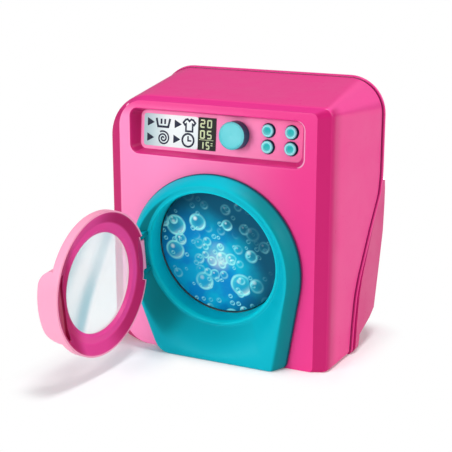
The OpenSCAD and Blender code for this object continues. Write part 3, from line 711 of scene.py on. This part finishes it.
def shell_row(size):
    """The outline as points; its radii run upper right, upper left, lower left, lower right."""
    w, h, a, b, c, d = size
    return joined_arcs([(w / 2 - d, d, d, -90), (w / 2 - a, h - a, a, 0), (b - w / 2, h - b, b, 90),
                        (c - w / 2, c, c, 180)], CORNER_STEPS, POINTS_BETWEEN)


# The outline at every half millimetre of depth
SHELL_ROWS = [shell_row(shell_size(k / 2)) for k in range(200)]


def outward_normals():
    """Which way each point of the outline grows, taken at the middle of the body."""
    row = SHELL_ROWS[100]
    out = []
    for i in range(len(row)):
        d = Vector(row[(i + 1) % len(row)]) - Vector(row[i - 1])
        out.append(Vector((d.y, -d.x)).normalized())
    return out


OUTWARD = outward_normals()


def seam_depth(z):
    for a, b in zip(SEAM, SEAM[1:]):
        if b[0] <= z <= a[0]:
            return a[1] + (b[1] - a[1]) * (z - a[0]) / (b[0] - a[0] or 1)
    return SEAM[-1][1]


def outline_point(y, i, grow):
    """One point of the outline at a depth, grown outwards."""
    k = min(max(y * 2, 0), 198)
    a, b = SHELL_ROWS[int(k)][i], SHELL_ROWS[int(k) + 1][i]
    x, z = a[0] + (b[0] - a[0]) * (k % 1), a[1] + (b[1] - a[1]) * (k % 1)
    return x + OUTWARD[i][0] * grow, z + OUTWARD[i][1] * grow


def seam_row(offset, grow, share=1.0):
    """A row of the body at a share of the way to the seam, solved point by point."""
    row = []
    for i in range(len(SHELL_ROWS[0])):
        low, high = WALL_START, WALL_LIMIT
        for _ in range(18):
            y = (low + high) / 2
            x, z = outline_point(y, i, grow)
            if y < WALL_START + (seam_depth(z) + offset - WALL_START) * share:
                low = y
            else:
                high = y
        row.append((x, y, max(z, 0.0)))
    return row


def front_shell():
    """The front face and the wall back to the seam, with the groove and the raised rim band; the groove and
    the rim's back edge take a darker pink that is painted shade.
    """
    bm = bmesh.new()
    # Depth, width, height and corner radii, from the flat face round its edge into the wall
    path = soften([[0, 141, 170, 3, 16.5, 18.5, 2], [0, 144, 173, 4, 18, 20, 3], [4.2, *shell_size(4.2)],
                   [WALL_START, *shell_size(WALL_START)]], [1.4, 5.0], steps=6)
    rows = [add_row(bm, [(x, p[0], z) for x, z in shell_row(p[1:])]) for p in path]
    rows += [add_row(bm, seam_row(-4.7, 0.0, k / 10)) for k in range(1, 11)]
    # Each step: its place from the seam, in front of it where negative, and how far it stands
    # out of the wall
    groove, band, back = [[add_row(bm, seam_row(offset, grow)) for offset, grow in steps] for steps in (
        ((-4.5, -0.3), (-4.3, -1.4), (-3.3, -1.4), (-3.1, 0.3)),
        ((-2.95, 0.75), (-2.65, 1.1), (-0.9, 1.1)),
        ((-0.3, 0.85), (0.0, 0.4), (0.0, -2.2)))]
    join_rows(bm, rows)
    # Slot 1 takes the darker pink of painted shade
    join_rows(bm, rows[-1:] + groove, slot=1)
    join_rows(bm, groove[-1:] + band)
    join_rows(bm, band[-1:] + back, slot=1)
    recess = recess_rows(bm)
    port = add_row(bm, [(x, 0, PORT_HEIGHT + z) for x, z in circle(PORT_RADIUS, 96)])
    fill_flat(bm, [rows[0], recess, port])
    skin = finished(bm, "front_skin", FRONT_PINK, "machine", ["front_shell"])
    skin.data.materials.append(GROOVE_SHADE_PINK)


def recess_rows(bm):
    """The control panel's recess with its button holes; gives back its outer row."""
    # The front face round the mouth, the mouth itself, the foot of its banks and the floor within
    lips = [[(x, 0, PANEL_HEIGHT + z) for x, z in rounded_box(130.4, 34, 7.7)],
            [(x, 0, PANEL_HEIGHT + z) for x, z in rounded_box(127, 30.6, 6)],
            [on_panel(x, y, 0) for x, y in rounded_box(119, 26.6, 4.5)],
            [on_panel(x, y, 0) for x, y in rounded_box(115.5, 23.1, 2.8)]]
    paths = [soften(p, [1.3, 1.5]) for p in zip(*lips)]
    rows = [add_row(bm, row) for row in zip(*paths)]
    join_rows(bm, rows)
    holes = []
    for cx, cy in BUTTONS:
        ring = circle(BUTTON_HOLE, 40)
        edge = [add_row(bm, [on_panel(cx + x * k, cy + y * k, z) for x, y in ring])
                for k, z in ((1.04, 0), (1.01, -0.08), (1.0, -0.3), (1.0, -2.2))]
        join_rows(bm, edge)
        holes.append(edge[0])
    fill_flat(bm, [rows[-1]] + holes)
    return rows[0]


# Arch panel

# Its head is a circle whose middle stands as high as its radius. The skin is a fan of paths
# round a point a little higher. The dish is a cone round the ring.
ARCH_FRONT = -12.0
ARCH_RADIUS = ARCH_HEIGHT = 64
FAN_HEIGHT = 68
DISH_RADIUS, DISH_OUT, DISH_SLOPE = 49.3, -0.4, 1.4


def arch_outline(inset):
    """Round head over sides that taper in, more on the hinge side, and round lower corners."""
    r = ARCH_RADIUS - inset
    ends = []
    for taper, turn in ((9.5, 5 - inset / 3), (22, 14 - inset / 2)):
        a = math.radians(taper)
        ends.append((taper, turn, (r - turn + math.sin(a) * (turn - ARCH_HEIGHT)) / math.cos(a)))
    (ta, ra, xa), (tb, rb, xb) = ends
    arcs = [(xa, ra, ra, -90, -ta, 14), (0, ARCH_HEIGHT, r, -ta, 180 + tb, 90),
            (-xb, rb, rb, 180 + tb, 270, 14)]
    out = []
    for cx, cz, radius, start, end, steps in arcs:
        turn = [math.radians(start + (end - start) * i / steps) for i in range(steps + 1)]
        out += [(cx + radius * math.cos(a), cz + radius * math.sin(a)) for a in turn]
    return out


def reach(outline, angle):
    """Where a ray of the fan meets an outline."""
    ray = Vector((math.cos(angle), math.sin(angle)))
    start = Vector((0, FAN_HEIGHT))
    best = 0.0
    for i, a in enumerate(outline):
        a = Vector(a) - start
        b = Vector(outline[(i + 1) % len(outline)]) - start
        edge = b - a
        cross = ray.x * edge.y - ray.y * edge.x
        if abs(cross) < 1e-9:
            continue
        along = (a.x * edge.y - a.y * edge.x) / cross
        at = (a.x * ray.y - a.y * ray.x) / cross
        if along > 0 and -1e-6 <= at <= 1 + 1e-6:
            best = max(best, along)
    return ray.x * best, FAN_HEIGHT + ray.y * best


def dish_edge(angle):
    """Where the door's dished seat runs out in the arch's front face, on a ray of the fan."""
    low, high = 20.0, 90.0
    for _ in range(40):
        s = (low + high) / 2
        edge = Vector((s * math.cos(angle), ARCH_FRONT, FAN_HEIGHT + s * math.sin(angle)))
        p = edge - RING_CENTRE
        r, z = math.hypot(p.x, p.dot(RING_UP)), p.dot(RING_OUT)
        if z > DISH_OUT + DISH_SLOPE * (r - DISH_RADIUS):
            low = s
        else:
            high = s
    return edge


def arch_panel():
    """A fan of paths, each from the throat over the ring's lip and the dish to the panel's edge."""
    bm = bmesh.new()
    outlines = [(arch_outline(inset), depth) for inset, depth in (
        (6, ARCH_FRONT), (3.2, -8.4), (0, -1.3), (1.1, -0.9), (1.3, 0.0))]
    paths = []
    for k in range(360):
        angle = math.radians(k)
        edge = dish_edge(angle)
        local = edge - RING_CENTRE
        turn = math.atan2(local.dot(RING_UP), local.x)
        lip = [on_ring(r * math.cos(turn), r * math.sin(turn), z)
               for r, z in ((46.1, -14), (46.1, -2.2), (47.2, 0.1), (48.6, 0.1), (49.6, -0.2))]
        outer = [Vector((x, y, z)) for (x, z), y in ((reach(o, angle), y) for o, y in outlines)]
        run_out = edge.lerp(outer[0], 0.3)
        paths.append(soften(lip + [run_out] + outer, [1.2, 0.9, 0.8, 1.6, 9.0, 4.5, 2.5, 0.3, 0.2], steps=5))
    rows = [add_row(bm, row) for row in zip(*paths)]
    join_rows(bm, rows)
    finished(bm, "arch_skin", TURQUOISE, "machine", ["arch_panel"])


def hinge_ear(side):
    """A rounded ear that stands on the ring's lip and holds an end of the door's pin."""
    bm = bmesh.new()
    head, offset = 3, 12.9
    turn = [math.radians(12 * i) for i in range(16)]
    outline = [(-head, -2.5), (head, -2.5)]
    outline += [(head * math.cos(a), HINGE_OUT + head * math.sin(a)) for a in turn]
    rows = []
    for y, inset in ((-1.8, 0.7), (-1.6, 0.25), (-1.1, 0), (1.1, 0), (1.6, 0.25), (1.8, 0.7)):
        k = 1 - inset / head
        rows.append(add_row(bm, [on_ring(HINGE_X + x * k, side * offset + y, HINGE_OUT + (z - HINGE_OUT) * k)
                                 for x, z in outline]))
    join_rows(bm, rows)
    bm.faces.new(rows[0])
    bm.faces.new(list(reversed(rows[-1])))
    finished(bm, "hinge_ear_" + ("upper" if side > 0 else "lower"), TURQUOISE, "machine",
             keep_sharp=50)


# Printed marks, a little proud of the label and of the display

ON_LABEL, ON_DISPLAY = 0.34, 0.64
BAR_WIDTH = 0.9


def stroke(bm, points, width, lift, closed=False):
    """A printed line of even width on the panel."""
    pts = [Vector(p) for p in points]
    n = len(pts)
    left, right = [], []
    for i, p in enumerate(pts):
        before = pts[i - 1] if closed or i else p
        after = pts[(i + 1) % n] if closed or i < n - 1 else p
        d1, d2 = (p - before), (after - p)
        d1 = d1.normalized() if d1.length else d2.normalized()
        d2 = d2.normalized() if d2.length else d1
        mitre = (d1 + d2).normalized()
        side = Vector((-mitre.y, mitre.x)) * (width / 2 / max(0.5, mitre.dot(d1)))
        left.append(bm.verts.new(metres(on_panel(*(p + side), lift))))
        right.append(bm.verts.new(metres(on_panel(*(p - side), lift))))
    join_rows(bm, [left, right], closed)


def pointer(bm, x, y):
    """A filled arrowhead that points right."""
    corners = [(x - 3.0, y), (x - 3.0, y - 3.0), (x + 2.5, y), (x - 3.0, y + 3.0), (x - 3.0, y)]
    bm.faces.new(add_row(bm, [on_panel(*p, ON_LABEL) for p in soften(corners, 0.6)[:-1]]))


def tub_sign(bm, x, y):
    tub = [(x - 5.2, y + 2.9), (x - 3.9, y - 2.7), (x + 3.9, y - 2.7), (x + 5.2, y + 2.9)]
    stroke(bm, tub, 1.5, ON_LABEL)
    for dx in (-1.4, 1.4):
        stroke(bm, [(x + dx, y - 0.9), (x + dx, y + 2.6)], 1.4, ON_LABEL)


def shirt_sign(bm, x, y):
    half = [(1.4, 3.9), (2.8, 3.5), (4.5, 1.5), (3.4, 0.0), (2.5, 0.6), (2.5, -4.2)]
    outline = [(x + a, y + b) for a, b in half] + [(x - a, y + b) for a, b in reversed(half)]
    stroke(bm, outline + [(x, y + 2.6)], 1.3, ON_LABEL, closed=True)


def spiral_sign(bm, x, y):
    turns = [(0.3 * i, 0.3 + 1.95 * 0.3 * i / (2 * math.pi)) for i in range(50)]
    stroke(bm, [(x + r * math.cos(a), y + r * math.sin(a)) for a, r in turns], 1.1, ON_LABEL)


def clock_sign(bm, x, y):
    stroke(bm, [(x + a, y + b) for a, b in circle(4.3, 40)], 1.35, ON_LABEL, closed=True)
    stroke(bm, [(x, y + 2.8), (x, y - 0.3), (x + 2.6, y - 0.3)], 1.1, ON_LABEL)


def panel_signs():
    bm = bmesh.new()
    for x, y, sign, gap in ((-42.6, 5.2, tub_sign, 9.0), (-22.7, 5.0, shirt_sign, 8.2),
                            (-42.4, -5.2, spiral_sign, 9.4), (-23.4, -5.2, clock_sign, 8.2)):
        sign(bm, x, y)
        pointer(bm, x - gap, y)
    finished(bm, "label_signs", INK, "machine")


# The seven bars of a simple figure, from and to places on a grid of 1 by 2, and which of them are lit
BARS = {"a": (0, 2, 1, 2), "b": (1, 2, 1, 1), "c": (1, 1, 1, 0), "d": (0, 0, 1, 0),
        "e": (0, 0, 0, 1), "f": (0, 1, 0, 2), "g": (0, 1, 1, 1)}
LIT_BARS = {"0": "abcdef", "1": "bc", "2": "abged", "5": "afgcd"}


def digit(bm, figure, x, y, w, h):
    for bar in LIT_BARS[figure]:
        x0, y0, x1, y1 = BARS[bar]
        stroke(bm, [(x + x0 * w, y + y0 * h / 2), (x + x1 * w, y + y1 * h / 2)], BAR_WIDTH, ON_DISPLAY)


def display_figures():
    """Three rows of two figures, a thin line between the lower two and a small sign beside the last."""
    bm = bmesh.new()
    for figures, y, w, h in (("20", 4.5, 2.7, 4.6), ("05", -2.8, 2.7, 4.8), ("15", -9.8, 2.0, 4.4)):
        for k, figure in enumerate(figures):
            digit(bm, figure, -13.9 + k * (w + 2.4), y, w, h)
    stroke(bm, [(-15.0, -4.0), (-4.2, -4.0)], 0.3, ON_DISPLAY)
    for y in (-6.0, -7.4):
        stroke(bm, [(-6.2, y), (-4.8, y)], 0.6, ON_DISPLAY)
    finished(bm, "display_figures", DIGITS, "machine")


# Studio

LAMP_TARGET = Vector((0, 0, 0.09))
CAMERA_TARGET = metres((-6.0, 30.0, 84.2))
CAMERA_DISTANCE = 0.7879
WHITE_LIGHT = {"Color": (1, 1, 1, 1), "Strength": 1.0}


def away_from(tree, place, middle, half, near, far):
    """How far a place on the floor lies from a rectangle, as a soft mask."""
    along = parts(tree, place)
    gaps = [larger(tree, folded(tree, along[k], middle[k], half[k]), 0.0) for k in (0, 1)]
    return faded(tree, vectors(tree, "LENGTH", paired(tree, *gaps)), near, far)


def studio_floor():
    """A pale floor that catches the shadows near the machine and is plain white elsewhere."""
    mesh = bpy.data.meshes.new("floor")
    bm = bmesh.new()
    bmesh.ops.create_grid(bm, x_segments=8, y_segments=8, size=8)
    bm.to_mesh(mesh)
    bm.free()
    floor = placed("floor", mesh)
    material, tree, shader = blank("pale floor")
    feed(tree, shader, {"Base Color": (0.92, 0.92, 0.92, 1), "Roughness": 0.9, "Specular IOR Level": 0.1})
    place = own_place(tree)
    under_door = away_from(tree, place, middle=(-0.058, -0.080), half=(0.004, 0.045), near=0.014, far=0.046)
    under_body = away_from(tree, place, middle=(0.0, 0.004), half=(0.078, 0.043), near=0.004, far=0.030)
    far = maths(tree, "MINIMUM", under_door, under_body)
    rays = node(tree, "LightPath").outputs
    mirrored = maths(tree, "ADD", rays["Is Glossy Ray"], rays["Is Transmission Ray"])
    seen = maths(tree, "ADD", rays["Is Camera Ray"], mirrored, clamp=True)
    white = node(tree, "Emission", WHITE_LIGHT)
    shown = node(tree, "MixShader", {0: far, 1: shader.outputs[0], 2: white.outputs[0]})
    both = node(tree, "MixShader", {0: seen, 1: shader.outputs[0], 2: shown.outputs[0]})
    feed(tree, tree.nodes["Material Output"], {"Surface": both.outputs[0]})
    mesh.materials.append(material)


def studio_world():
    """Soft light from all round behind a white background."""
    world = bpy.data.worlds.new("studio")
    bpy.context.scene.world = world
    world.use_nodes = True
    tree = world.node_tree
    rays = node(tree, "LightPath").outputs
    seen = maths(tree, "ADD", rays["Is Camera Ray"], rays["Is Transmission Ray"], clamp=True)
    soft = tree.nodes["Background"]
    feed(tree, soft, {"Color": (0.97, 0.98, 1.0, 1), "Strength": 0.27})
    white = node(tree, "Background", WHITE_LIGHT)
    both = node(tree, "MixShader", {0: seen, 1: soft.outputs[0], 2: white.outputs[0]})
    feed(tree, tree.nodes["World Output"], {"Surface": both.outputs[0]})


def aim(made, target, azimuth, elevation, distance):
    """Sets a lamp or the camera at a distance from its target, looking at it."""
    a, e = math.radians(azimuth), math.radians(elevation)
    back = Vector((math.sin(a) * math.cos(e), -math.cos(a) * math.cos(e), math.sin(e)))
    made.location = target + back * distance
    made.rotation_mode = "QUATERNION"
    made.rotation_quaternion = (-back).to_track_quat("-Z", "Y")


def lamp(name, azimuth, elevation, distance, size, power):
    """A soft box aimed at the machine."""
    data = bpy.data.lights.new(name, "AREA")
    data.size = size
    data.energy = power
    aim(placed(name, data), LAMP_TARGET, azimuth, elevation, distance)


def camera():
    data = bpy.data.cameras.new("camera")
    data.lens = 90.3
    data.sensor_width = 36.0
    data.clip_start = 0.05
    made = placed("camera", data)
    aim(made, CAMERA_TARGET, azimuth=26, elevation=15.1, distance=CAMERA_DISTANCE)
    bpy.context.scene.camera = made


camera()
studio_world()
studio_floor()
lamp("key", azimuth=-22, elevation=17, distance=1.3, size=0.7, power=10.6)
lamp("side", azimuth=84, elevation=26, distance=1.3, size=0.5, power=7.0)
lamp("top", azimuth=80, elevation=80, distance=1.2, size=0.25, power=6.6)
lamp("rear", azimuth=184, elevation=0, distance=0.95, size=0.16, power=3.4)
dress_solids()
front_shell()
arch_panel()
hinge_ear(1)
hinge_ear(-1)
panel_signs()
display_figures()

bpy.context.scene.view_settings.view_transform = "Standard"
bpy.context.view_layer.update()
